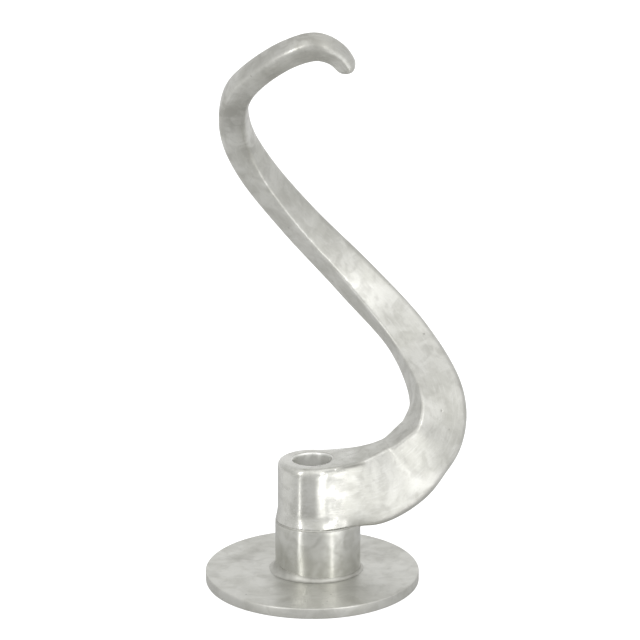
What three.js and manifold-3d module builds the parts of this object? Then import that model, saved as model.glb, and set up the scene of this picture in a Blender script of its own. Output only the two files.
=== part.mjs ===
// Spiral dough hook for a 20-quart planetary mixer, standing on its guard plate.
// Millimetres. +Z up, origin on the hub axis at the underside of the guard plate.
import * as THREE from "three";
import Module from "manifold-3d";
import { mergeVertices } from "three/addons/utils/BufferGeometryUtils.js";

// ---------------------------------------------------------------- dimensions
const PLATE_R = 56;           // guard plate radius
const PLATE_T = 5.6;          // guard plate thickness
const PLATE_EDGE = 0.5;       // broken edge on the rim of the plate
const BORE_R = 10.32;         // half of a 13/16 in agitator shaft
const BORE_LEAD = 1;          // chamfer at both mouths of the bore
const NECK_R = 19.4;          // neck radius on the side away from the arm
const NECK_REACH = 5.8;       // how much further the neck reaches under the arm
const NECK_TOP = 33;          // height of the line between neck and boss
const BOSS_R = 18;            // boss radius
const FLARE_TOP = 41.5;       // height where the boss starts to widen towards the neck
const FLARE_BASE = 30.5;      // height where it has the neck's radius
const BOSS_TOP = 66;          // height of the boss's top face
const BOSS_EDGE = 1.6;        // rounding of the boss's top edge
const SPIGOT_R = 14;          // sleeve's radius inside the boss and the plate
const SPIGOT_TOP = 57;        // height that the sleeve reaches inside the boss
const FILLET = 4.2;           // leg of the bead between neck and plate
const SEAM_R = 18.3;          // shoulder radius of the groove between neck and boss
const SEAM_CROWN = 19.5;      // outer radius of the bead that fills it
const SEAM = 1.1;             // half height of the groove
const SLOT_W = 8.4;           // width of the bayonet slot for the drive pin
const SLOT_TOP = 23;          // height that the pin rises to in the slot
const SLOT_REACH = 27;        // how far the slot's cut reaches from the axis
const SLOT_AT = 90;           // where the slot enters, in degrees about the axis
const SLOT_TURN = 56;         // degrees that the pin turns at the end of the slot
const TOUCH = 0.04;           // gap between faces that meet
const GAP = 0.3;              // gap round a piece that sits in a cut
const ROUND = 60;             // segments round the hub
const FLARE_STEPS = 4;        // segments of the boss's flare
const HOLLOW_R = BORE_R / 4;  // inner radius of rings that the bore is cut through

// The arm, from the hub to the tip. Each row is a point of the centre line
// (x, y, z), half the width of the broad face, half the thickness, and the
// roll of the section in degrees.
const ARM = [
  [0, 0, 49.5, 16.2, 18, 0],
  [15, 0.8, 50, 16.9, 15.8, 0],
  [31, 3, 50.8, 18.9, 12, -1],
  [46.5, 7.5, 57, 18, 10, -4],
  [55.2, 10.4, 65.2, 16.3, 10, 0],
  [62.7, 14, 75, 15.1, 9.8, 4],
  [65.6, 20.5, 91, 13, 9.7, -7],
  [52.1, 44, 117.2, 10.9, 9.1, -24],
  [24.1, 57, 146.8, 9.9, 8.9, -17],
  [-7, 56, 180, 8.5, 8.6, -12],
  [-29, 44, 210, 7.5, 8.3, -3],
  [-38.7, 26, 233.5, 6.6, 7.4, 8],
  [-37.6, 3, 255.5, 5.9, 6.9, 13],
  [-27.5, -13, 269.5, 5.4, 6.6, 14],
  [-10, -25, 282, 5.4, 6.5, 14],
  [2.5, -27.5, 285.4, 5.4, 6.5, 15],
  [12, -25.5, 281.4, 4.6, 5.5, 17],
  [19.2, -22, 272, 3.6, 4.2, 19],
];
const ARM_RINGS = 66;         // sections along the arm up to the nose
const NOSE = 5.5;             // length over which the tip is rounded off
const NOSE_RINGS = 6;         // sections that round it off
const NOSE_FLAT = 0.25;       // size of the tip's flat end, against the section
const RIDGE_R = 1.6;          // corner radius of the section's crisp ridge
const CORNER_R = 3;           // corner radius of its other three edges
const CROWN = 0.25;           // how much its faces bulge

// ---------------------------------------------------------------- solids
const wasm = await Module();
wasm.setup();

// A closed three.js geometry as a manifold-3d solid.
function solid(geometry) {
  const bare = new THREE.BufferGeometry();
  bare.setAttribute("position", geometry.getAttribute("position"));
  bare.setIndex(geometry.index);
  const welded = mergeVertices(bare, 1e-4);
  const corners = welded.index.array;
  const triangles = [];
  for (let i = 0; i < corners.length; i += 3) {
    const [a, b, c] = corners.subarray(i, i + 3);
    if (a !== b && b !== c && c !== a) triangles.push(a, b, c);
  }
  return new wasm.Manifold(new wasm.Mesh({
    numProp: 3,
    vertProperties: welded.getAttribute("position").array,
    triVerts: new Uint32Array(triangles),
  }));
}

// A manifold-3d solid as a mesh with a name and a material.
function piece(name, made, material) {
  const { vertProperties, triVerts } = made.getMesh();
  const geometry = new THREE.BufferGeometry();
  geometry.setAttribute("position", new THREE.BufferAttribute(vertProperties, 3));
  geometry.setIndex(new THREE.BufferAttribute(triVerts, 1));
  geometry.computeVertexNormals();
  const mesh = new THREE.Mesh(geometry, material);
  mesh.name = name;
  return mesh;
}

// Skin over loops of points that all have the same count: each loop is joined
// to the next, and the last one to the first unless both ends are capped.
function skin(loops, capped) {
  const count = loops[0].length;
  const position = loops.flat().flatMap((p) => [p.x, p.y, p.z]);
  const index = [];
  const at = (i, k) => (i % loops.length) * count + (k % count);
  const joins = capped ? loops.length - 1 : loops.length;
  for (let i = 0; i < joins; i++) {
    for (let k = 0; k < count; k++) {
      index.push(at(i, k), at(i + 1, k + 1), at(i + 1, k));
      index.push(at(i, k), at(i, k + 1), at(i + 1, k + 1));
    }
  }
  if (capped) {
    const end = loops.length - 1;
    for (let k = 1; k < count - 1; k++) {
      index.push(at(0, 0), at(0, k + 1), at(0, k));
      index.push(at(end, 0), at(end, k), at(end, k + 1));
    }
  }
  const geometry = new THREE.BufferGeometry();
  geometry.setAttribute("position", new THREE.Float32BufferAttribute(position, 3));
  geometry.setIndex(index);
  return solid(geometry);
}

// Ring round the axis, from a clockwise profile of [radius, height] pairs. The
// reach is what each angle adds to the radius.
function ring(profile, reach = () => 0) {
  const loops = [];
  for (let i = 0; i < ROUND; i++) {
    const angle = (2 * Math.PI * i) / ROUND;
    loops.push(profile.map(([radius, z]) => {
      const r = radius + reach(angle);
      return new THREE.Vector3(r * Math.cos(angle), r * Math.sin(angle), z);
    }));
  }
  return skin(loops, false);
}

// Solid of revolution, from rising [radius, height] pairs.
function turned(outline) {
  const closed = [[0, outline[0][1]], ...outline, [0, outline.at(-1)[1]]];
  const profile = closed.map(([radius, z]) => new THREE.Vector2(radius, z));
  return solid(new THREE.LatheGeometry(profile, ROUND).rotateX(Math.PI / 2));
}

// ---------------------------------------------------------------- arm
// Outline of the arm's section: u across the broad face, v through the bar.
function section(halfWidth, halfThickness) {
  const corners = [[1, 1, RIDGE_R], [-1, 1, CORNER_R], [-1, -1, CORNER_R], [1, -1, CORNER_R]];
  const outline = [];
  corners.forEach(([su, sv, radius], k) => {
    const r = Math.min(radius, 0.5 * halfWidth, 0.5 * halfThickness);
    for (let step = 0; step <= 3; step++) {
      const angle = ((k + step / 3) * Math.PI) / 2;
      const u = su * (halfWidth - r) + r * Math.cos(angle);
      const v = sv * (halfThickness - r) + r * Math.sin(angle);
      outline.push([u, v]);
    }
    const out = ((k + 1) * Math.PI) / 2;
    outline.push([(halfWidth + CROWN) * Math.cos(out), (halfThickness + CROWN) * Math.sin(out)]);
  });
  return outline;
}

// The bar swept along its centre line. The section is carried along without
// twisting, from upright at the hub, and the rows' roll is added to that.
function sweptArm() {
  const column = (from) => ARM.map((row) => new THREE.Vector3(...row.slice(from, from + 3)));
  const path = new THREE.CatmullRomCurve3(column(0), false, "centripetal");
  const sizes = new THREE.CatmullRomCurve3(column(3), false, "catmullrom");
  const length = path.getLength();
  const stops = [];
  for (let i = 0; i < ARM_RINGS; i++) {
    stops.push([(1 - NOSE / length) * (i / ARM_RINGS), 1]);
  }
  for (let i = 0; i <= NOSE_RINGS; i++) {
    const angle = (i / NOSE_RINGS) * Math.acos(NOSE_FLAT);
    const depth = Math.sin(angle) / Math.sin(Math.acos(NOSE_FLAT));
    stops.push([1 - (NOSE / length) * (1 - depth), Math.cos(angle)]);
  }
  const up = new THREE.Vector3(0, 0, 1);
  const loops = stops.map(([along, scale]) => {
    const centre = path.getPointAt(along);
    const ahead = path.getTangentAt(along);
    up.addScaledVector(ahead, -up.dot(ahead)).normalize();
    const size = sizes.getPoint(path.getUtoTmapping(along));
    const u = up.clone().applyAxisAngle(ahead, THREE.MathUtils.degToRad(size.z));
    const v = new THREE.Vector3().crossVectors(ahead, u);
    return section(size.x * scale, size.y * scale).map(([a, b]) =>
      centre.clone().addScaledVector(u, a).addScaledVector(v, b));
  });
  return skin(loops, true);
}

// ---------------------------------------------------------------- cuts
// The neck is round, and drawn out under the arm.
const neckReach = (angle) => NECK_REACH * ((1 + Math.cos(angle)) / 2) ** 3;

// Radius of the hub at a height: the boss widens into the neck in an S-curve.
function hubRadius(z) {
  const narrow = THREE.MathUtils.smoothstep(z, FLARE_BASE, FLARE_TOP);
  return NECK_R + (BOSS_R - NECK_R) * narrow;
}

const bore = turned([
  [BORE_R + 2 * BORE_LEAD, -BORE_LEAD],
  [BORE_R, BORE_LEAD],
  [BORE_R, BOSS_TOP - BORE_LEAD],
  [BORE_R + 2 * BORE_LEAD, BOSS_TOP + BORE_LEAD],
  [BORE_R + 2 * BORE_LEAD, BOSS_TOP + 10 * BORE_LEAD],
]);
const socket = turned([
  [SPIGOT_R + GAP, 0],
  [SPIGOT_R + GAP, SPIGOT_TOP + GAP],
]);
const seamGroove = ring([
  [SEAM_R - SEAM - GAP, NECK_TOP],
  [SEAM_R, NECK_TOP + SEAM],
  [SEAM_R + 2 * SEAM, NECK_TOP + SEAM],
  [SEAM_R + 2 * SEAM, NECK_TOP - SEAM],
  [SEAM_R, NECK_TOP - SEAM],
]);

const neckSpace = ring([
  [HOLLOW_R, 0],
  [HOLLOW_R, NECK_TOP + TOUCH],
  [NECK_R + GAP, NECK_TOP + TOUCH],
  [NECK_R + GAP, 0],
], neckReach);

// Sector of a flat ring, for the slot's turn.
function slotTurn() {
  const start = THREE.MathUtils.degToRad(SLOT_AT);
  const end = THREE.MathUtils.degToRad(SLOT_AT + SLOT_TURN);
  const shape = new THREE.Shape();
  shape.moveTo(0, 0);
  shape.lineTo(SLOT_REACH * Math.cos(start), SLOT_REACH * Math.sin(start));
  shape.absarc(0, 0, SLOT_REACH, start, end, false);
  shape.closePath();
  const slab = new THREE.ExtrudeGeometry(shape, { depth: SLOT_W, bevelEnabled: false, curveSegments: 16 });
  return slab.translate(0, 0, SLOT_TOP - SLOT_W);
}

function slotRise() {
  const box = new THREE.BoxGeometry(SLOT_W, SLOT_REACH, SLOT_TOP + 1);
  box.translate(0, SLOT_REACH / 2, (SLOT_TOP - 1) / 2);
  return box.rotateZ(THREE.MathUtils.degToRad(SLOT_AT - 90));
}

const closedSolid = (geometry) => solid(geometry.index ? geometry : mergeVertices(geometry));
const slot = closedSolid(slotRise()).add(closedSolid(slotTurn()));

// ---------------------------------------------------------------- pieces
const castAluminium = new THREE.MeshStandardMaterial({ color: 0xc4c4bf, metalness: 1, roughness: 0.38 });
const turnedAluminium = new THREE.MeshStandardMaterial({ color: 0xb9b9b4, metalness: 1, roughness: 0.34 });
const plateAluminium = new THREE.MeshStandardMaterial({ color: 0xc0c0ba, metalness: 1, roughness: 0.42 });
const weldAluminium = new THREE.MeshStandardMaterial({ color: 0xcacac5, metalness: 1, roughness: 0.46 });

function hookArm() {
  const flare = [];
  for (let step = 0; step <= FLARE_STEPS; step++) {
    const z = NECK_TOP + ((FLARE_TOP - NECK_TOP) * step) / FLARE_STEPS;
    flare.push([hubRadius(z), z]);
  }
  const boss = turned([
    ...flare,
    [BOSS_R, BOSS_TOP - BOSS_EDGE],
    [BOSS_R - 0.3 * BOSS_EDGE, BOSS_TOP - 0.3 * BOSS_EDGE],
    [BOSS_R - BOSS_EDGE, BOSS_TOP],
  ]);
  const cast = sweptArm().add(boss);
  return cast.subtract(neckSpace).subtract(socket).subtract(bore).subtract(seamGroove);
}

function hubSleeve() {
  const neck = ring([
    [HOLLOW_R, PLATE_T + TOUCH],
    [HOLLOW_R, NECK_TOP],
    [hubRadius(NECK_TOP), NECK_TOP],
    [NECK_R, FLARE_BASE],
    [NECK_R, PLATE_T + TOUCH],
  ], neckReach);
  const core = turned([[SPIGOT_R, 0], [SPIGOT_R, SPIGOT_TOP]]);
  return neck.add(core).subtract(bore).subtract(seamGroove).subtract(slot);
}

function guardPlate() {
  const hole = SPIGOT_R + GAP;
  const plate = ring([
    [hole, 0],
    [hole, PLATE_T],
    [PLATE_R - PLATE_EDGE, PLATE_T],
    [PLATE_R, PLATE_T - PLATE_EDGE],
    [PLATE_R, PLATE_EDGE],
    [PLATE_R - PLATE_EDGE, 0],
  ]);
  return plate.subtract(slot);
}

function plateFilletWeld() {
  const foot = PLATE_T + TOUCH;
  const wall = NECK_R + TOUCH;
  const bead = ring([
    [wall, foot],
    [wall, foot + FILLET],
    [wall + 0.3 * FILLET, foot + 0.3 * FILLET],
    [wall + FILLET, foot],
  ], neckReach);
  return bead.subtract(slot);
}

function bossSeamWeld() {
  const half = SEAM - GAP;
  return ring([
    [SEAM_R - half, NECK_TOP],
    [SEAM_R, NECK_TOP + half],
    [SEAM_CROWN - 0.3 * half, NECK_TOP + half],
    [SEAM_CROWN, NECK_TOP],
    [SEAM_CROWN - 0.3 * half, NECK_TOP - half],
    [SEAM_R, NECK_TOP - half],
  ]);
}

const group = new THREE.Group();
group.add(piece("hook_arm", hookArm(), castAluminium));
group.add(piece("hub_sleeve", hubSleeve(), turnedAluminium));
group.add(piece("guard_plate", guardPlate(), plateAluminium));
group.add(piece("plate_fillet_weld", plateFilletWeld(), weldAluminium));
group.add(piece("boss_seam_weld", bossSeamWeld(), weldAluminium));

export default group;
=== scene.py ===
import math

import bpy
import numpy as np
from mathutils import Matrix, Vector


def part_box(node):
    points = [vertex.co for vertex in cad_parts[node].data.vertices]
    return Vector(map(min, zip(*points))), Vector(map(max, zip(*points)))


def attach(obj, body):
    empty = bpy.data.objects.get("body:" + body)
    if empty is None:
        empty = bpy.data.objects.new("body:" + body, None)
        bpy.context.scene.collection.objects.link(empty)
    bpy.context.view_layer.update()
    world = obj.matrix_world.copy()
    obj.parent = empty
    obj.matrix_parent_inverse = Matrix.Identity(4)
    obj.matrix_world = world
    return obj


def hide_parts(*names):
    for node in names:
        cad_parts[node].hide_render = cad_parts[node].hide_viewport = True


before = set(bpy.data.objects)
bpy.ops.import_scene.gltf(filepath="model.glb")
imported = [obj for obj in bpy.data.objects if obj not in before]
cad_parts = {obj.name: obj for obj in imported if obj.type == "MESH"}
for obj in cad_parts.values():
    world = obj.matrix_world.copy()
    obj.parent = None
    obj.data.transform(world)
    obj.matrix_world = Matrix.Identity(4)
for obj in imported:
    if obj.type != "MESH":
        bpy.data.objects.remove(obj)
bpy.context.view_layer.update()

import openvdb
from mathutils import Vector

# Spiral dough hook of a planetary mixer, standing on its guard plate. Sizes are
# in mm up to the point where a mesh is made, which is in metres.
MM = 0.001


def top_of(node):
    """Height of a CAD node's top, in mm."""
    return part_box(node)[1][2] / MM


# ---------------------------------------------------------------- sizes
PLATE_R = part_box("guard_plate")[1][0] / MM
PLATE_T = top_of("guard_plate")
PLATE_EDGE = 0.5          # broken edge on the plate's rim
BORE_R = 10.32            # bore for the agitator shaft
NECK_R = 19.4             # neck radius on the side away from the arm
NECK_REACH = 5.8          # how much further the neck reaches under the arm
NECK_TOP = 33.0           # height of the line between neck and boss
BOSS_R = 18.0
FLARE_TOP = 41.5          # height where the boss starts to widen towards the neck
FLARE_BASE = 30.5         # height where it has the neck's radius
BOSS_TOP = 66.0
BOSS_EDGE = 1.6           # rounding of the boss's top edge
SPIGOT_R = 14.0           # sleeve's radius inside the boss and the plate
SPIGOT_TOP = top_of("hub_sleeve")
FILLET = 1.5              # leg of the bead between neck and plate, at the front
FILLET_GROWTH = 3.6       # how much larger it is on the side away from the arm
SEAM_R = 0.65             # radius of the bead on the line between neck and boss
SEAM_PROUD = 0.1          # how far that bead stands out
SLOT_W = 8.4              # width of the bayonet slot for the drive pin
SLOT_TOP = 23.0           # height that the pin rises to in the slot
SLOT_REACH = 27.0         # how far the slot's cut reaches from the axis
SLOT_AT = 90.0            # where the slot enters, in degrees about the axis
SLOT_TURN = 56.0          # degrees that the pin turns at the end of the slot
SLOT_INSIDE = 2.0         # distance from the axis where the slot's cut starts
TOUCH = 0.04              # gap between faces that meet
GAP = 0.3                 # gap round a piece that sits in a cut

# The arm, from the hub to the tip. Each row is a point of the centre line
# (x, y, z), half the width of the broad face, half the thickness, and the
# roll of the section in degrees.
ARM = np.array([
    [0, 0, 49.5, 16.2, 17.1, 0],
    [15, 0.8, 50, 16.9, 15.6, 0],
    [31, 3, 50.8, 18.9, 12, -1],
    [46.5, 7.5, 57, 18, 10, -4],
    [55.2, 10.4, 65.2, 16.3, 10, 0],
    [62.7, 14, 75, 15.1, 9.8, 4],
    [65.6, 20.5, 91, 13, 9.7, -7],
    [52.1, 44, 117.2, 10.9, 9.1, -24],
    [24.1, 57, 146.8, 9.9, 8.9, -17],
    [-7, 56, 180, 8.5, 8.6, -12],
    [-29, 44, 210, 7.5, 8.3, -3],
    [-38.7, 26, 233.5, 6.6, 7.4, 8],
    [-37.6, 3, 255.5, 5.9, 6.9, 13],
    [-27.5, -13, 269.5, 5.4, 6.6, 14],
    [-10, -25, 282, 5.4, 6.5, 14],
    [2.5, -27.5, 285.4, 5.4, 6.5, 15],
    [12, -25.5, 281.4, 4.6, 5.5, 17],
    [19.2, -22, 272, 3.6, 4.2, 19],
])
STATIONS = 420            # sections along the arm
NOSE = 5.5                # length over which the tip is rounded off
NOSE_RINGS = 12
CORNERS = (1.3, 3.6, 3.2, 2.6)         # radii of the section's corners at the hub
CURL_CORNERS = (2.0, -1.6, 0.0, 0.0)   # what the curl adds to them
TIP_CORNERS = (1.0, 1.6, 0.0, 0.0)     # and what the tip adds
CROWN = 0.25              # how much the faces of the section bulge
CORNER_STEPS = 6
FACE_STEPS = 7

# Pits: a point on the surface, the radius and the depth of each.
CAST_PITS = [
    (14.1, -16.2, 38.0, 0.8, 0.5),
    (17.2, -15.2, 50.2, 0.7, 0.25),
]
PLATE_PITS = [
    (-43.5, 13.0, 1.3, 0.3), (-34.4, 10.2, 1.6, 0.3), (-30.6, 26.1, 1.2, 0.3),
    (26.8, 21.7, 1.5, 0.35), (39.6, 21.7, 1.1, 0.4), (29.7, 10.2, 1.2, 0.25),
    (-8.0, 44.0, 1.2, 0.3), (12.0, 36.0, 1.0, 0.25), (-48.0, -6.0, 0.9, 0.2),
]
# The edge between the boss's flat top and the front of the web has a fine fold: a
# line on the surface, the radius and depth of its groove, and the width of the
# painted shade in its crease.
FOLD = np.array([(12.5, -15.4, 65.6), (20.2, -13.3, 66.5), (28.5, -9.9, 67.4)])
FOLD_R = 0.8
FOLD_DEPTH = 0.25
FOLD_SHADE_WIDTH = 0.95
FOLD_SHADE_STARTS = (11, 17)    # the painted shade comes and goes between these places along the hub's x
FOLD_SHADE_ENDS = (22, 31)

# Dull stains that the polishing left, and painted shade and painted dark reflections
# on the curl and on and under the lower bend: a point, the radius and the strength of each.
CAST_STAINS_AND_SHADE = [
    (-39.6, 1.1, 249.0, 13, 0.8), (-42.3, 10.0, 240.0, 9, 0.5), (-31.0, 25.5, 225.0, 4, 0.7),
    (-0.5, -33.0, 289.4, 11, 0.9), (-12.0, -30.0, 283.0, 6, 0.4), (46.9, 4.2, 78.5, 5, 0.5),
    (61.3, 2.9, 80.5, 5, 0.5), (66.7, 10.7, 94.4, 6, 0.4), (38.0, -7.7, 45.9, 6, 0.3),
    (49.5, -2.6, 40.0, 7, 0.4), (12.0, 50.0, 163.0, 10, 0.35), (20.0, 60.0, 130.0, 10, 0.5),
    (-22.0, -22.0, 272.0, 8, 0.5), (-20.0, 60.0, 195.0, 9, 0.5),
    (60.0, 30.0, 120.0, 9, 0.4), (0.0, 17.0, 40.0, 8, 0.5),
]
PLATE_STAINS = [
    (-35.5, 10.6, 5.6, 6, 0.5), (-43.0, 14.0, 5.6, 4, 0.4), (-30.0, 27.0, 5.6, 4, 0.4),
    (33.0, 18.0, 5.6, 6, 0.4), (-22.0, -12.0, 5.6, 4, 0.4), (24.0, 30.0, 5.6, 7, 0.3),
    (10.0, -30.0, 5.6, 9, 0.2), (-10.0, 45.0, 5.6, 8, 0.3), (40.0, -25.0, 5.6, 6, 0.2),
]


# ---------------------------------------------------------------- shapes
def smoothstep(low, high, x):
    t = np.clip((x - low) / (high - low), 0.0, 1.0)
    return t * t * (3 - 2 * t)


def neck_reach(angle):
    """What the neck's outline adds to its radius: it is drawn out under the arm."""
    return NECK_REACH * ((1 + np.cos(angle)) / 2) ** 3


def hub_radius(z):
    """The boss widens into the neck in an S-curve."""
    return NECK_R + (BOSS_R - NECK_R) * smoothstep(FLARE_BASE, FLARE_TOP, z)


def spline(points, at, by_chord):
    """Catmull-Rom curve through the points, at values from 0 to 1."""
    at = np.clip(at, 0, 1) * (len(points) - 1)
    k = np.minimum(at.astype(int), len(points) - 2)
    w = (at - k)[:, None]
    ends = np.vstack([2 * points[0] - points[1], points, 2 * points[-1] - points[-2]])
    p0, p1, p2, p3 = (ends[k + i] for i in range(4))
    if by_chord:
        d0, d1, d2 = (np.sqrt(np.linalg.norm(b - a, axis=1))[:, None]
                      for a, b in ((p0, p1), (p1, p2), (p2, p3)))
        m1 = ((p1 - p0) / d0 - (p2 - p0) / (d0 + d1) + (p2 - p1) / d1) * d1
        m2 = ((p2 - p1) / d1 - (p3 - p1) / (d1 + d2) + (p3 - p2) / d2) * d1
    else:
        m1 = (p2 - p0) / 2
        m2 = (p3 - p1) / 2
    cubic = 2 * p1 - 2 * p2 + m1 + m2
    square = -3 * p1 + 3 * p2 - 2 * m1 - m2
    return p1 + w * (m1 + w * (square + w * cubic))


def arm_stations(count):
    """Arc length, centre, direction, u, v and sizes at even stations of the arm."""
    fine = np.linspace(0, 1, 4001)
    path = spline(ARM[:, :3], fine, True)
    lengths = np.r_[0, np.cumsum(np.linalg.norm(np.diff(path, axis=0), axis=1))]
    along = np.linspace(0, lengths[-1], count)
    at = np.interp(along, lengths, fine)
    centre = spline(ARM[:, :3], at, True)
    ahead = spline(ARM[:, :3], at + 1e-4, True) - spline(ARM[:, :3], at - 1e-4, True)
    ahead /= np.linalg.norm(ahead, axis=1)[:, None]
    sizes = spline(ARM[:, 3:], at, False)
    up = np.array([0.0, 0.0, 1.0])
    u = np.empty_like(centre)
    v = np.empty_like(centre)
    for i in range(count):
        up = up - up.dot(ahead[i]) * ahead[i]
        up /= np.linalg.norm(up)
        roll = math.radians(sizes[i, 2])
        u[i] = math.cos(roll) * up + math.sin(roll) * np.cross(ahead[i], up)
        v[i] = np.cross(ahead[i], u[i])
    return along, centre, ahead, u, v, sizes


def section(half_u, half_v, radii):
    """Outline of the bar: four slightly crowned faces and four rounded corners."""
    outline = []
    signs = ((1, 1), (-1, 1), (-1, -1), (1, -1))
    radii = [min(r, 0.6 * half_u, 0.6 * half_v) for r in radii]
    for k, (su, sv) in enumerate(signs):
        r = radii[k]
        for step in range(CORNER_STEPS + 1):
            a = (k + step / CORNER_STEPS) * math.pi / 2
            outline.append((su * (half_u - r) + r * math.cos(a),
                            sv * (half_v - r) + r * math.sin(a)))
        nu, nv = signs[(k + 1) % 4]
        r_next = radii[(k + 1) % 4]
        out = np.array([math.cos((k + 1) * math.pi / 2), math.sin((k + 1) * math.pi / 2)])
        start = np.array(outline[-1])
        end = np.array([nu * (half_u - r_next), nv * (half_v - r_next)]) + r_next * out
        for step in range(1, FACE_STEPS + 1):
            t = step / (FACE_STEPS + 1)
            outline.append(tuple(start + (end - start) * t + CROWN * 4 * t * (1 - t) * out))
    return outline


def arm_skin(along, centre, u, v, sizes):
    """Closed skin of the arm as points, quads and end triangles."""
    length = along[-1]
    stops = [(s, 1.0) for s in np.linspace(0, length - NOSE, STATIONS - NOSE_RINGS)]
    for i in range(1, NOSE_RINGS + 1):
        a = i / NOSE_RINGS * math.pi / 2 * 0.96
        stops.append((length - NOSE + NOSE * math.sin(a), math.cos(a)))
    rings = []
    for s, shrink in stops:
        c, uu, vv, size = (np.array([np.interp(s, along, table[:, k]) for k in range(3)])
                           for table in (centre, u, v, sizes))
        # The bar keeps one crisp corner at the front all the way, gains another at
        # the top of the curl, and has soft ones elsewhere.
        curl = smoothstep(0.62 * length, 0.8 * length, s)
        tip = smoothstep(0.94 * length, 0.98 * length, s)
        inset = NOSE * 0.75 * (1 - shrink)
        radii = [max(corner + curl * on_curl + tip * on_tip, 0.8 * inset)
                 for corner, on_curl, on_tip in zip(CORNERS, CURL_CORNERS, TIP_CORNERS)]
        outline = section(size[0] - inset, size[1] - inset, radii)
        rings.append([c + a * uu + b * vv for a, b in outline])
    count = len(rings[0])
    quads = [(i * count + k, i * count + (k + 1) % count,
              (i + 1) * count + (k + 1) % count, (i + 1) * count + k)
             for i in range(len(rings) - 1) for k in range(count)]
    last = (len(rings) - 1) * count
    tris = [(0, k + 1, k) for k in range(1, count - 1)]
    tris += [(last, last + k, last + k + 1) for k in range(1, count - 1)]
    return np.array(rings).reshape(-1, 3), np.array(quads), np.array(tris)


# ---------------------------------------------------------------- casting
VOXEL = 0.7               # spacing of the field that the casting is blended in
BAND = 11                 # width of the arm's field on each side, in voxels
HUB_LOW = (-24.0, -26.0, 26.0)
HUB_HIGH = (48.0, 28.0, 74.0)
CREASE_BLUR = 3.2         # how widely the crease between boss and web is filled
MOUTH_EDGE = 0.9          # rounding of the bore's upper mouth
UNDERSIDE_SLOPE = 1.5     # run over rise of the arm's underside beside the neck


def blur(field, sigma):
    """Gaussian blur of a block, sigma in voxels."""
    reach = int(3 * sigma)
    x = np.arange(-reach, reach + 1)
    kernel = np.exp(-x * x / (2 * sigma * sigma))
    kernel /= kernel.sum()
    for axis in range(3):
        pads = [(reach, reach) if a == axis else (0, 0) for a in range(3)]
        padded = np.pad(field, pads, mode="edge")
        total = np.zeros_like(field)
        for i, weight in enumerate(kernel):
            cut = [slice(None)] * 3
            cut[axis] = slice(i, i + field.shape[axis])
            total += weight * padded[tuple(cut)]
        field = total
    return field


def rounded_max(a, b, r):
    """Intersection of two fields with its edge rounded to a radius of about r."""
    h = np.maximum(r - np.abs(a - b), 0) / r
    return np.maximum(a, b) + h * h * r / 4


def from_fold(points):
    """Distance of points from the fold's line."""
    nearest = np.full(points.shape[:-1], np.inf)
    for a, b in zip(FOLD, FOLD[1:]):
        t = np.clip((points - a) @ (b - a) / (b - a).dot(b - a), 0, 1)
        nearest = np.minimum(nearest, np.linalg.norm(points - a - t[..., None] * (b - a), axis=-1))
    return nearest


def casting_surface(skin):
    """Points and faces of the arm and the boss, blended into one casting."""
    points, quads, tris = skin
    grid = openvdb.FloatGrid.createLevelSetFromPolygons(
        points.astype(np.float32), triangles=tris.astype(np.uint32), quads=quads.astype(np.uint32),
        transform=openvdb.createLinearTransform(voxelSize=VOXEL), halfWidth=BAND)
    low = np.floor(np.array(HUB_LOW) / VOXEL).astype(int)
    high = np.ceil(np.array(HUB_HIGH) / VOXEL).astype(int)
    field = np.full(high - low, BAND * VOXEL, np.float32)
    corner = tuple(int(i) for i in low)
    grid.copyToArray(field, ijk=corner)
    x, y, z = np.meshgrid(*(np.arange(a, b) * VOXEL for a, b in zip(low, high)), indexing="ij")
    radius = np.hypot(x, y)
    reach = neck_reach(np.arctan2(y, x))

    flare = hub_radius(z) + reach * (1 - smoothstep(31.5, 40, z))
    boss = rounded_max(radius - flare, z - BOSS_TOP, BOSS_EDGE * 2.4)
    field = np.minimum(field, boss)
    # The crease between boss and web is filled, away from the flat top.
    soft = blur(np.clip(field, -BAND * VOXEL, BAND * VOXEL), CREASE_BLUR / VOXEL)
    crease = smoothstep(3, 9, x) * (1 - smoothstep(24, 38, x)) * smoothstep(6, 11, np.abs(y))
    crease *= 1 - smoothstep(59, 64.5, z)
    field = field + crease * (soft - field)
    for px, py, pz, pit_r, depth in CAST_PITS:
        away = (x - px) ** 2 + (y - py) ** 2 + (z - pz) ** 2
        field = field + depth * np.exp(-away / pit_r ** 2)
    field = field + FOLD_DEPTH * np.exp(-from_fold(np.stack([x, y, z], -1)) ** 2 / FOLD_R ** 2)
    # It stops at the neck's top face, and is cut for the bore and the sleeve. The
    # arm's underside slopes away from the neck's top edge.
    slope = UNDERSIDE_SLOPE * np.maximum(NECK_TOP - z, 0)
    neck = np.maximum(radius - NECK_R - reach - slope, z - NECK_TOP - TOUCH)
    field = np.maximum(field, -neck)
    field = rounded_max(field, BORE_R - radius, MOUTH_EDGE)
    field = np.maximum(field, -np.maximum(radius - SPIGOT_R - GAP, z - SPIGOT_TOP - GAP))
    grid.copyFromArray(field.astype(np.float32), ijk=corner)
    verts, faces = grid.convertToQuads()
    return verts, faces[:, ::-1]


def bar_coordinates(verts, along, centre, ahead, u, v):
    """For each point, its distance along the arm and its offsets across it, in metres."""
    coordinates = np.empty((len(verts), 3), np.float32)
    for start in range(0, len(verts), 8000):
        part = verts[start:start + 8000]
        gap = part[:, None, :] - centre[None, ::2, :]
        nearest = 2 * np.argmin(np.einsum("ijk,ijk->ij", gap, gap), axis=1)
        offset = part - centre[nearest]
        forward, wide, thick = (np.einsum("ij,ij->i", offset, table[nearest])
                                for table in (ahead, u, v))
        coordinates[start:start + 8000] = np.column_stack([along[nearest] + forward, wide, thick])
    return coordinates * MM


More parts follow.
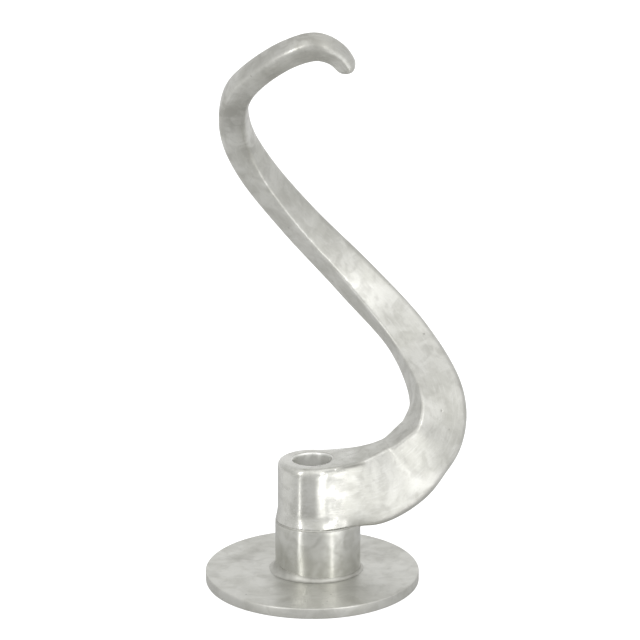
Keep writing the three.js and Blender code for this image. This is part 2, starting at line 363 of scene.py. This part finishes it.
# ---------------------------------------------------------------- pieces
def mesh_object(name, verts, faces, node):
    mesh = bpy.data.meshes.new(name)
    rows = [tuple(int(i) for i in face) for face in faces]
    mesh.from_pydata([tuple(v) for v in verts], [], rows)
    mesh.validate()
    mesh.polygons.foreach_set("use_smooth", [True] * len(mesh.polygons))
    piece = bpy.data.objects.new(name, mesh)
    bpy.context.scene.collection.objects.link(piece)
    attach(piece, "root")
    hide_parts(node)
    return piece


def revolved(profile_at, count):
    """Closed ring of points and faces, from a loop of (radius, z) at each angle."""
    verts = []
    for i in range(count):
        a = 2 * math.pi * i / count
        profile = profile_at(a)
        verts += [(r * math.cos(a), r * math.sin(a), z) for r, z in profile]
    n = len(profile)
    faces = []
    for i in range(count):
        here = i * n
        there = (i + 1) % count * n
        faces += [(here + k, there + k, there + (k + 1) % n, here + (k + 1) % n) for k in range(n)]
    return np.array(verts), faces


def arc(centre_r, centre_z, radius, start, end, steps):
    """Points of an arc in the profile plane, angles in degrees."""
    turns = np.radians(np.linspace(start, end, steps + 1))
    return [(centre_r + radius * math.cos(a), centre_z + radius * math.sin(a)) for a in turns]


def cut_with(piece, cutters, crisp_angle=38):
    """Cuts closed outlines through a piece, then keeps its hard edges crisp."""
    for verts, faces in cutters:
        mesh = bpy.data.meshes.new("cutter")
        mesh.from_pydata([tuple(v) for v in verts], [], faces)
        tool = bpy.data.objects.new("cutter", mesh)
        bpy.context.scene.collection.objects.link(tool)
        modifier = piece.modifiers.new("cut", "BOOLEAN")
        modifier.operation = "DIFFERENCE"
        modifier.object = tool
        graph = bpy.context.evaluated_depsgraph_get()
        made = bpy.data.meshes.new_from_object(piece.evaluated_get(graph))
        piece.modifiers.clear()
        piece.data = made
        bpy.data.objects.remove(tool)
        bpy.data.meshes.remove(mesh)
    piece.data.set_sharp_from_angle(angle=math.radians(crisp_angle))


def prism(outline, place, depths):
    """Closed solid between two copies of an outline, placed at two depths."""
    n = len(outline)
    verts = [place(s, z, d) for d in depths for s, z in outline]
    faces = [tuple(range(n - 1, -1, -1)), tuple(range(n, 2 * n))]
    faces += [(k, (k + 1) % n, (k + 1) % n + n, k + n) for k in range(n)]
    return [Vector(p) * MM for p in verts], faces


def slot_cutters():
    """The bayonet slot: a straight rise, then a turn with a milled round end."""
    half = SLOT_W / 2
    start = math.radians(SLOT_AT)
    corner = 1.5
    rise = [(-half, -1), (half, -1), (half, SLOT_TOP - corner),
            (half - corner, SLOT_TOP), (-half, SLOT_TOP)]
    end = math.radians(SLOT_TURN) * NECK_R - half
    turn = [(0, SLOT_TOP - SLOT_W)] + arc(end, SLOT_TOP - half, half, -90, 90, 12)
    turn += [(0, SLOT_TOP)]
    # Its long sides are split, so that they follow the neck round.
    fine_turn = []
    longest = 1.5
    for (s0, z0), (s1, z1) in zip(turn, turn[1:] + turn[:1]):
        steps = max(1, round(abs(s1 - s0) / longest))
        fine_turn += [(s0 + (s1 - s0) * i / steps, z0 + (z1 - z0) * i / steps)
                      for i in range(steps)]

    def straight(s, z, d):
        return (d * math.cos(start) - s * math.sin(start),
                d * math.sin(start) + s * math.cos(start), z)

    def around(s, z, d):
        angle = start + s / NECK_R
        return (d * math.cos(angle), d * math.sin(angle), z)

    mirrored = [(-s, z) for s, z in rise[::-1]]
    depths = (SLOT_INSIDE, SLOT_REACH)
    return [prism(mirrored, straight, depths), prism(fine_turn, around, depths)]


def store(piece, name, values):
    """Keeps a number for each point of a piece, for its material."""
    attribute = piece.data.attributes.new(name, "FLOAT", "POINT")
    attribute.data.foreach_set("value", values.astype(np.float32))


def points_of(piece):
    """The points of a piece, in mm."""
    verts = np.empty(3 * len(piece.data.vertices), np.float32)
    piece.data.vertices.foreach_get("co", verts)
    return verts.reshape(-1, 3) / MM


def stain_and_shade(piece, marks):
    """Stores how dark each point of a piece is made by its stains and painted shade, from 0 to 1.
    """
    verts = points_of(piece)
    clean = np.ones(len(verts))
    for x, y, z, radius, strength in marks:
        away = np.sum((verts - (x, y, z)) ** 2, axis=1)
        clean *= 1 - strength * np.exp(-away / radius ** 2)
    store(piece, "stain_and_shade", 1 - clean)


def cast_arm():
    along, centre, ahead, u, v, sizes = arm_stations(STATIONS)
    verts, faces = casting_surface(arm_skin(along, centre, u, v, sizes))
    arm = mesh_object("cast_arm", verts * MM, faces, "hook_arm")
    # Distance along the bar and offsets across it, which the polishing strokes follow.
    strokes = arm.data.attributes.new("bar", "FLOAT_VECTOR", "POINT")
    coordinates = bar_coordinates(verts, along, centre, ahead, u, v)
    strokes.data.foreach_set("vector", coordinates.ravel())
    # Stains, with painted shade and painted dark reflections on the curl and the lower bend among
    # them.
    stain_and_shade(arm, CAST_STAINS_AND_SHADE)
    points = points_of(arm)
    x = points[:, 0]
    # Painted shade: a dark line along the fold's crease, fading in and out along the hub's x.
    fading = smoothstep(*FOLD_SHADE_STARTS, x) * (1 - smoothstep(*FOLD_SHADE_ENDS, x))
    store(arm, "fold", fading * np.exp(-from_fold(points) ** 2 / FOLD_SHADE_WIDTH ** 2))
    return arm


def neck_sleeve():
    foot = PLATE_T + TOUCH
    lead = 0.8

    def profile(a):
        wall = list(np.linspace(foot, FLARE_BASE, 14))
        wall += list(np.linspace(FLARE_BASE + 0.6, NECK_TOP, 5))
        outside = [(hub_radius(z) + neck_reach(a), z) for z in wall]
        bottom = arc(BORE_R + lead, lead, lead, 180, 270, 4) + [(SPIGOT_R, 0.0), (SPIGOT_R, foot)]
        top = [(SPIGOT_R, NECK_TOP), (SPIGOT_R, SPIGOT_TOP), (BORE_R, SPIGOT_TOP)]
        return bottom + outside + top

    verts, faces = revolved(profile, 256)
    sleeve = mesh_object("neck_sleeve", verts * MM, faces, "hub_sleeve")
    cut_with(sleeve, slot_cutters())
    return sleeve


def turned_plate():
    hole = SPIGOT_R + GAP
    across = list(np.linspace(hole, PLATE_R - 1.5, 52))

    def profile(a):
        # The rim was dressed by hand, so its rounding isn't even all round.
        below = PLATE_EDGE + 0.35 * math.sin(3 * a + 0.6) * math.sin(2 * a - 0.4)
        above = PLATE_EDGE + 0.2 + 0.25 * math.sin(4 * a + 1.1) * math.sin(a + 0.9)
        rim = arc(PLATE_R - below, below, below, -90, 0, 5)
        rim += arc(PLATE_R - above, PLATE_T - above, above, 0, 90, 5)
        return [(r, 0.0) for r in (hole, 26.0, 40.0)] + rim + [(r, PLATE_T) for r in across[::-1]]

    verts, faces = revolved(profile, 384)
    top = verts[:, 2] > PLATE_T - 0.01
    for px, py, pit_r, depth in PLATE_PITS:
        away = (verts[:, 0] - px) ** 2 + (verts[:, 1] - py) ** 2
        verts[:, 2] -= top * depth * np.exp(-away / pit_r ** 2)
    plate = mesh_object("turned_plate", verts * MM, faces, "guard_plate")
    cut_with(plate, slot_cutters()[:1])
    stain_and_shade(plate, PLATE_STAINS)
    return plate


def fillet_bead():
    foot = PLATE_T + TOUCH

    def profile(a):
        wall = NECK_R + neck_reach(a)
        lumps = 0.12 * math.sin(5 * a + 0.7) + 0.08 * math.sin(11 * a)
        away = ((1 - math.cos(a)) / 2) ** 2
        leg = FILLET + lumps + 0.5 * FILLET_GROWTH * away
        rise = FILLET + lumps + FILLET_GROWTH * away
        # A hollow quarter round that runs out flush on the neck and on the plate.
        turns = np.radians(np.linspace(270, 180, 11))
        hollow = [(wall + leg + leg * math.cos(t) + 0.05, foot + rise + rise * math.sin(t) + 0.03)
                  for t in turns]
        return [(wall - 0.3, foot)] + hollow + [(wall - 0.3, foot + rise)]

    verts, faces = revolved(profile, 256)
    bead = mesh_object("fillet_bead", verts * MM, faces, "plate_fillet_weld")
    cut_with(bead, slot_cutters()[:1], crisp_angle=60)
    return bead


def seam_bead():
    def profile(a):
        middle = hub_radius(NECK_TOP) + neck_reach(a) + SEAM_PROUD - SEAM_R
        height = NECK_TOP + 0.12 * math.sin(3 * a + 1.0)
        return arc(middle, height, SEAM_R, -180, 180, 14)[:-1]

    verts, faces = revolved(profile, 256)
    return mesh_object("seam_bead", verts * MM, faces, "boss_seam_weld")


# ---------------------------------------------------------------- materials
class Metal:
    """A metal's node tree, built with short calls."""

    def __init__(self, name):
        self.material = bpy.data.materials.new(name)
        self.material.use_nodes = True
        self.tree = self.material.node_tree
        self.shader = self.tree.nodes["Principled BSDF"]
        self.shader.inputs["Metallic"].default_value = 1.0
        self.place = self.add("ShaderNodeTexCoord").outputs["Object"]

    def add(self, kind, **settings):
        node = self.tree.nodes.new(kind)
        for key, value in settings.items():
            setattr(node, key, value)
        return node

    def feed(self, socket, value):
        if isinstance(value, bpy.types.NodeSocket):
            self.tree.links.new(value, socket)
        else:
            socket.default_value = value

    def math(self, operation, *values):
        node = self.add("ShaderNodeMath", operation=operation)
        for socket, value in zip(node.inputs, values):
            self.feed(socket, value)
        return node.outputs[0]

    def stretched(self, where, scale):
        """Coordinates scaled along each axis, for strokes and turning marks."""
        node = self.add("ShaderNodeMapping", vector_type="POINT")
        self.feed(node.inputs["Vector"], where)
        node.inputs["Scale"].default_value = scale
        return node.outputs[0]

    def noise(self, where, wavelength, detail=3.0, distortion=0.0):
        """Noise from 0 to 1 with features of the given size in mm."""
        node = self.add("ShaderNodeTexNoise")
        self.feed(node.inputs["Vector"], where)
        node.inputs["Scale"].default_value = 1 / (wavelength * MM)
        node.inputs["Detail"].default_value = detail
        node.inputs["Distortion"].default_value = distortion
        return node.outputs["Fac"]

    def ramp(self, value, low, high, to_low=0.0, to_high=1.0):
        node = self.add("ShaderNodeMapRange", interpolation_type="SMOOTHSTEP")
        for socket, number in zip(node.inputs, (value, low, high, to_low, to_high)):
            self.feed(socket, number)
        return node.outputs[0]

    def blend(self, amount, a, b):
        node = self.add("ShaderNodeMix", data_type="RGBA")
        self.feed(node.inputs[0], amount)
        self.feed(node.inputs[6], a if isinstance(a, bpy.types.NodeSocket) else (*a, 1))
        self.feed(node.inputs[7], b if isinstance(b, bpy.types.NodeSocket) else (*b, 1))
        return node.outputs[2]

    def bump(self, height, depth, before=None):
        """Relief of the given depth in mm for a height from 0 to 1."""
        node = self.add("ShaderNodeBump")
        node.inputs["Strength"].default_value = 1.0
        node.inputs["Distance"].default_value = depth * MM
        self.feed(node.inputs["Height"], height)
        if before is not None:
            self.feed(node.inputs["Normal"], before)
        return node.outputs[0]

    def edges(self, low=0.52, high=0.6):
        """1 on worn convex edges, 0 on faces."""
        return self.ramp(self.add("ShaderNodeNewGeometry").outputs["Pointiness"], low, high)

    def stored(self, name):
        return self.add("ShaderNodeAttribute", attribute_name=name).outputs["Fac"]

    def stains(self, breakup):
        """The piece's stains and painted shade, broken up by a noise."""
        kept = self.ramp(breakup, 0.3, 0.6, 0.35, 1.0)
        return self.math("MULTIPLY", self.stored("stain_and_shade"), kept)

    def within(self, inner, outer):
        """1 nearer to the hub's axis than inner, 0 beyond outer, in mm."""
        flat = self.stretched(self.place, (1, 1, 0))
        length = self.add("ShaderNodeVectorMath", operation="LENGTH")
        self.feed(length.inputs[0], flat)
        return self.ramp(length.outputs["Value"], inner * MM, outer * MM, 1.0, 0.0)

    def pits(self, spacing, share):
        """1 in scattered casting pits, 0 elsewhere."""
        node = self.add("ShaderNodeTexVoronoi")
        self.feed(node.inputs["Vector"], self.place)
        node.inputs["Scale"].default_value = 1 / (spacing * MM)
        chosen = self.math("GREATER_THAN", self.noise(self.place, 3 * spacing, 0), 1 - share)
        return self.math("MULTIPLY", self.ramp(node.outputs["Distance"], 0.16, 0.05), chosen)

    def turned(self, anisotropy):
        """Gloss of a surface finished round the axis: wide upright, narrow around."""
        tangent = self.add("ShaderNodeTangent", direction_type="RADIAL", axis="Z")
        self.feed(self.shader.inputs["Tangent"], tangent.outputs[0])
        self.shader.inputs["Anisotropic"].default_value = anisotropy
        self.shader.inputs["Anisotropic Rotation"].default_value = 0.25

    def finish(self, colour, roughness, normal):
        self.feed(self.shader.inputs["Base Color"], colour)
        self.feed(self.shader.inputs["Roughness"], roughness)
        self.feed(self.shader.inputs["Normal"], normal)
        return self.material


DULL = (0.52, 0.518, 0.48)        # oxide skin left between polishing passes
CLEAN = (0.625, 0.623, 0.588)      # polished aluminium
BRIGHT = (0.72, 0.72, 0.70)       # rubbed edges
REAMED = (0.88, 0.88, 0.85)       # bore, scoured by the shaft
STAIN_AND_SHADE_GREY = (0.36, 0.355, 0.325)    # dull stains, and painted shade on the casting
DARK = (0.26, 0.255, 0.235)       # dirt in pits, and painted shade in the fold's crease


def cast_metal():
    """Hand-polished casting: cloudy, with strokes across the bar and a few pits."""
    m = Metal("cast_polish")
    bar = m.add("ShaderNodeAttribute", attribute_name="bar").outputs["Vector"]
    clouds = m.noise(m.place, 15, 3, 0.6)
    patches = m.noise(bar, 7, 5, 0.9)
    strokes = m.noise(m.stretched(bar, (1, 7, 7)), 7, 4)
    grain = m.noise(m.place, 0.9, 3)
    pits = m.pits(5.5, 0.3)
    rubbed = m.noise(m.stretched(bar, (1, 0.2, 0.2)), 35, 2)
    edge = m.math("MULTIPLY", m.edges(), m.ramp(rubbed, 0.35, 0.6, 0.0, 1.0))
    boss = m.within(18.5, 27.0)
    bore = m.within(10.6, 10.9)
    fold = m.stored("fold")
    colour = m.blend(m.ramp(clouds, 0.34, 0.66), DULL, CLEAN)
    colour = m.blend(m.ramp(patches, 0.45, 0.65, 0, 0.22), colour, STAIN_AND_SHADE_GREY)
    colour = m.blend(m.ramp(strokes, 0.5, 0.72, 0, 0.28), colour, BRIGHT)
    colour = m.blend(m.ramp(grain, 0.5, 0.75, 0, 0.15), colour, STAIN_AND_SHADE_GREY)
    # Stains and painted shade: darker patches, some of them painted dark reflections.
    colour = m.blend(m.stains(patches), colour, STAIN_AND_SHADE_GREY)
    colour = m.blend(m.math("MULTIPLY", edge, 0.5), colour, BRIGHT)
    # Painted shade darkens the fold's crease.
    colour = m.blend(m.math("MULTIPLY", fold, 0.75), colour, DARK)
    colour = m.blend(m.math("MULTIPLY", pits, 0.5), colour, DARK)
    colour = m.blend(bore, colour, REAMED)
    satin = m.ramp(patches, 0.3, 0.7, 0.36, 0.47)
    roughness = m.math("SUBTRACT", satin, m.math("MULTIPLY", edge, 0.06))
    roughness = m.math("SUBTRACT", roughness, m.math("MULTIPLY", boss, 0.19))
    roughness = m.math("ADD", roughness, m.math("MULTIPLY", bore, 0.22))
    roughness = m.math("ADD", roughness, m.math("MULTIPLY", fold, 0.35))
    normal = m.bump(m.math("MULTIPLY", clouds, m.ramp(boss, 0, 1, 1.0, 0.4)), 0.25)
    normal = m.bump(patches, 0.04, normal)
    normal = m.bump(strokes, 0.015, normal)
    normal = m.bump(grain, 0.01, normal)
    normal = m.bump(m.math("SUBTRACT", 1.0, pits), 0.1, normal)
    m.turned(0.65)
    return m.finish(colour, roughness, normal)


def sleeve_metal():
    """Turned neck: fine rings round the axis, rubbed over by hand."""
    m = Metal("turned_polish")
    rings = m.noise(m.stretched(m.place, (0.05, 0.05, 1)), 0.6, 3)
    waves = m.noise(m.stretched(m.place, (1, 1, 0.6)), 11, 1)
    clouds = m.noise(m.place, 7, 4, 0.8)
    bore = m.within(10.6, 10.9)
    colour = m.blend(m.ramp(clouds, 0.3, 0.7), DULL, CLEAN)
    colour = m.blend(m.ramp(rings, 0.5, 0.75, 0, 0.08), colour, STAIN_AND_SHADE_GREY)
    colour = m.blend(bore, colour, REAMED)
    roughness = m.ramp(clouds, 0.3, 0.7, 0.21, 0.26)
    roughness = m.math("ADD", roughness, m.math("MULTIPLY", bore, 0.25))
    normal = m.bump(waves, 0.035)
    normal = m.bump(rings, 0.002, normal)
    m.turned(0.9)
    return m.finish(colour, roughness, normal)


def plate_metal():
    """Guard plate: satin with cloudy stains, faint turning marks and pits."""
    m = Metal("plate_satin")
    clouds = m.noise(m.place, 15, 4, 1.0)
    blotches = m.noise(m.place, 6, 5, 0.8)
    grain = m.noise(m.place, 1.0, 4)
    pits = m.pits(4.5, 0.34)
    edge = m.edges(0.53, 0.62)
    colour = m.blend(m.ramp(clouds, 0.3, 0.7), DULL, CLEAN)
    colour = m.blend(m.ramp(blotches, 0.5, 0.75, 0, 0.22), colour, STAIN_AND_SHADE_GREY)
    colour = m.blend(m.stains(blotches), colour, STAIN_AND_SHADE_GREY)
    colour = m.blend(m.ramp(grain, 0.55, 0.8, 0, 0.25), colour, BRIGHT)
    colour = m.blend(m.math("MULTIPLY", edge, 0.6), colour, BRIGHT)
    colour = m.blend(m.math("MULTIPLY", pits, 0.6), colour, DARK)
    roughness = m.ramp(blotches, 0.3, 0.7, 0.38, 0.48)
    normal = m.bump(clouds, 0.12)
    normal = m.bump(grain, 0.012, normal)
    normal = m.bump(m.math("SUBTRACT", 1.0, pits), 0.1, normal)
    m.turned(0.5)
    return m.finish(colour, roughness, normal)


def weld_metal():
    """Dressed weld bead: lumpy under the polish, dull where the tool didn't reach."""
    m = Metal("weld_dressed")
    lumps = m.noise(m.place, 4, 3, 0.6)
    grain = m.noise(m.place, 0.8, 3)
    colour = m.blend(m.ramp(lumps, 0.3, 0.7, 0.45, 1.0), STAIN_AND_SHADE_GREY, DULL)
    colour = m.blend(m.ramp(grain, 0.5, 0.75, 0, 0.3), colour, STAIN_AND_SHADE_GREY)
    roughness = m.ramp(lumps, 0.3, 0.7, 0.4, 0.5)
    normal = m.bump(lumps, 0.12)
    normal = m.bump(grain, 0.012, normal)
    m.turned(0.5)
    return m.finish(colour, roughness, normal)


def build_object():
    weld = weld_metal()
    finishes = ((cast_arm(), cast_metal()), (neck_sleeve(), sleeve_metal()),
                (turned_plate(), plate_metal()), (fillet_bead(), weld), (seam_bead(), weld))
    for piece, material in finishes:
        piece.data.materials.clear()
        piece.data.materials.append(material)


# ---------------------------------------------------------------- stage
FLOOR_SIZE = 8.0
FLOOR_DROP = 0.0002       # the floor lies just under the plate
FLOOR_GREY = 0.3          # how much of the light that falls on it the floor returns
WORLD_BASE = 0.76
# Soft light from a direction: azimuth (0 is the front, + to the right), elevation,
# sharpness of the lobe and strength.
LOBES = [
    (0, 60, 2, 0.5),
    (40, 40, 12, 0.42),
    (42, 0, 14, 0.22),
    (-42, 5, 14, 0.2),
    (175, 15, 4, 0.25),
]
# Pools of light painted on the floor as its own glow: x, y, a nearer distance and
# the glow there, a further distance and the glow there.
POOLS = [
    (0.0, 0.0, 0.05, 0.26, 0.45, 0.55),
    (0.12, -0.15, 0.04, 1.9, 0.105, 0.0),
    (0.35, -0.2, 0.05, 0.3, 0.5, 0.0),
    (-0.2, 0.0, 0.03, 0.3, 0.2, 0.0),
]
# Painted streaks of light on the floor, standing in for the strip lights'
# reflections: azimuth, sharpness, glow and reach. They start this far from the
# hub's axis, outside the plate.
STREAK_START = 0.072
STREAK_FADE = 0.01
STREAKS = [
    (-40, 600, 2.3, 0.24),
    (33, 500, 3.2, 0.12),
]


# Strip lights: name, azimuth, elevation and power. They aim at the hub's middle.
STRIPS = [
    ("strip_left", -40, 20, 3),
    ("strip_right", 34.5, 20, 2),
]
STRIP_DISTANCE = 1.5
STRIP_WIDTH = 0.08
STRIP_HEIGHT = 1.0
HUB_MIDDLE = (0, 0, 0.06)

CAMERA_PLACE = (0.00403, -1.15, 0.46384)
CAMERA_DOWN = 15.687      # degrees below level
CAMERA_LENS = 131.67


def direction(azimuth, elevation):
    a = math.radians(azimuth)
    e = math.radians(elevation)
    return Vector((math.sin(a) * math.cos(e), -math.cos(a) * math.cos(e), math.sin(e)))


def calculate(tree, operation, *values):
    """A math node fed with sockets and numbers."""
    node = tree.nodes.new("ShaderNodeMath")
    node.operation = operation
    for socket, value in zip(node.inputs, values):
        if isinstance(value, bpy.types.NodeSocket):
            tree.links.new(value, socket)
        else:
            socket.default_value = value
    return node.outputs[0]


def lobe(tree, towards, middle, sharpness, strength):
    """Light that falls off smoothly away from one direction."""
    dot = tree.nodes.new("ShaderNodeVectorMath")
    dot.operation = "DOT_PRODUCT"
    dot.inputs[1].default_value = middle
    tree.links.new(towards, dot.inputs[0])
    ahead = calculate(tree, "MAXIMUM", dot.outputs["Value"], 0.0)
    return calculate(tree, "MULTIPLY", calculate(tree, "POWER", ahead, sharpness), strength)


def fall(tree, place, x, y, near, near_glow, far, far_glow):
    """Glow that changes smoothly with the distance from a point on the floor."""
    apart = tree.nodes.new("ShaderNodeVectorMath")
    apart.operation = "DISTANCE"
    apart.inputs[1].default_value = (x, y, 0)
    tree.links.new(place, apart.inputs[0])
    ramp = tree.nodes.new("ShaderNodeMapRange")
    ramp.interpolation_type = "SMOOTHSTEP"
    tree.links.new(apart.outputs["Value"], ramp.inputs[0])
    for socket, number in zip(ramp.inputs[1:], (near, far, near_glow, far_glow)):
        socket.default_value = number
    return ramp.outputs[0]


def white_to_camera(tree, parts, socket):
    """Feeds the sum of the parts to a strength; the camera itself sees plain white."""
    total = parts[0]
    for part in parts[1:]:
        total = calculate(tree, "ADD", total, part)
    rays = tree.nodes.new("ShaderNodeLightPath")
    tree.links.new(calculate(tree, "MAXIMUM", total, rays.outputs["Is Camera Ray"]), socket)


def studio_world():
    """A pale cyclorama with large soft boxes."""
    world = bpy.data.worlds.new("studio")
    bpy.context.scene.world = world
    world.use_nodes = True
    tree = world.node_tree
    background = tree.nodes["Background"]
    background.inputs["Color"].default_value = (1, 1, 1, 1)
    towards = tree.nodes.new("ShaderNodeTexCoord").outputs["Generated"]
    lobes = [lobe(tree, towards, direction(azimuth, elevation), sharpness, strength)
             for azimuth, elevation, sharpness, strength in LOBES]
    lit = calculate(tree, "ADD", lobes[0], WORLD_BASE)
    white_to_camera(tree, [lit] + lobes[1:], background.inputs["Strength"])


def stage_floor():
    """Plain white floor to the camera; it glows with painted pools and streaks of light, which the
    metal reflects.
    """
    half = FLOOR_SIZE / 2
    mesh = bpy.data.meshes.new("floor")
    mesh.from_pydata([(-half, -half, 0), (half, -half, 0), (half, half, 0), (-half, half, 0)],
                     [], [(0, 1, 2, 3)])
    floor = bpy.data.objects.new("floor", mesh)
    bpy.context.scene.collection.objects.link(floor)
    floor.location.z = -FLOOR_DROP
    material = bpy.data.materials.new("floor_paper")
    material.use_nodes = True
    tree = material.node_tree
    shader = tree.nodes["Principled BSDF"]
    shader.inputs["Base Color"].default_value = (FLOOR_GREY, FLOOR_GREY, FLOOR_GREY, 1)
    shader.inputs["Roughness"].default_value = 0.9
    shader.inputs["Specular IOR Level"].default_value = 0.0
    shader.inputs["Emission Color"].default_value = (1, 1, 1, 1)
    place = tree.nodes.new("ShaderNodeTexCoord").outputs["Object"]
    outward = tree.nodes.new("ShaderNodeVectorMath")
    outward.operation = "NORMALIZE"
    tree.links.new(place, outward.inputs[0])
    parts = [fall(tree, place, *pool) for pool in POOLS]
    for azimuth, sharpness, glow, reach in STREAKS:
        streak = lobe(tree, outward.outputs["Vector"], direction(azimuth, 0), sharpness, glow)
        start = fall(tree, place, 0, 0, STREAK_START, 0.0, STREAK_START + STREAK_FADE, 1.0)
        end = fall(tree, place, 0, 0, 0.5 * reach, 1.0, reach, 0.0)
        ends = calculate(tree, "MULTIPLY", start, end)
        parts.append(calculate(tree, "MULTIPLY", streak, ends))
    white_to_camera(tree, parts, shader.inputs["Emission Strength"])
    mesh.materials.append(material)


def strip_light(name, azimuth, elevation, power):
    """Tall narrow area light."""
    out = direction(azimuth, elevation)
    lamp = bpy.data.lights.new(name, "AREA")
    lamp.shape = "RECTANGLE"
    lamp.size = STRIP_WIDTH
    lamp.size_y = STRIP_HEIGHT
    lamp.energy = power
    light = bpy.data.objects.new(name, lamp)
    light.location = Vector(HUB_MIDDLE) + out * STRIP_DISTANCE
    light.rotation_mode = "QUATERNION"
    light.rotation_quaternion = out.to_track_quat("Z", "Y")
    light.visible_camera = False
    bpy.context.scene.collection.objects.link(light)


def camera():
    data = bpy.data.cameras.new("camera")
    data.sensor_width = 36
    data.lens = CAMERA_LENS
    data.clip_start = 0.01
    data.clip_end = 50
    view = bpy.data.objects.new("camera", data)
    view.location = CAMERA_PLACE
    view.rotation_euler = (math.radians(90 - CAMERA_DOWN), 0, 0)
    bpy.context.scene.collection.objects.link(view)
    bpy.context.scene.camera = view
    bpy.context.scene.view_settings.view_transform = "Standard"


build_object()
studio_world()
stage_floor()
for strip in STRIPS:
    strip_light(*strip)
camera()
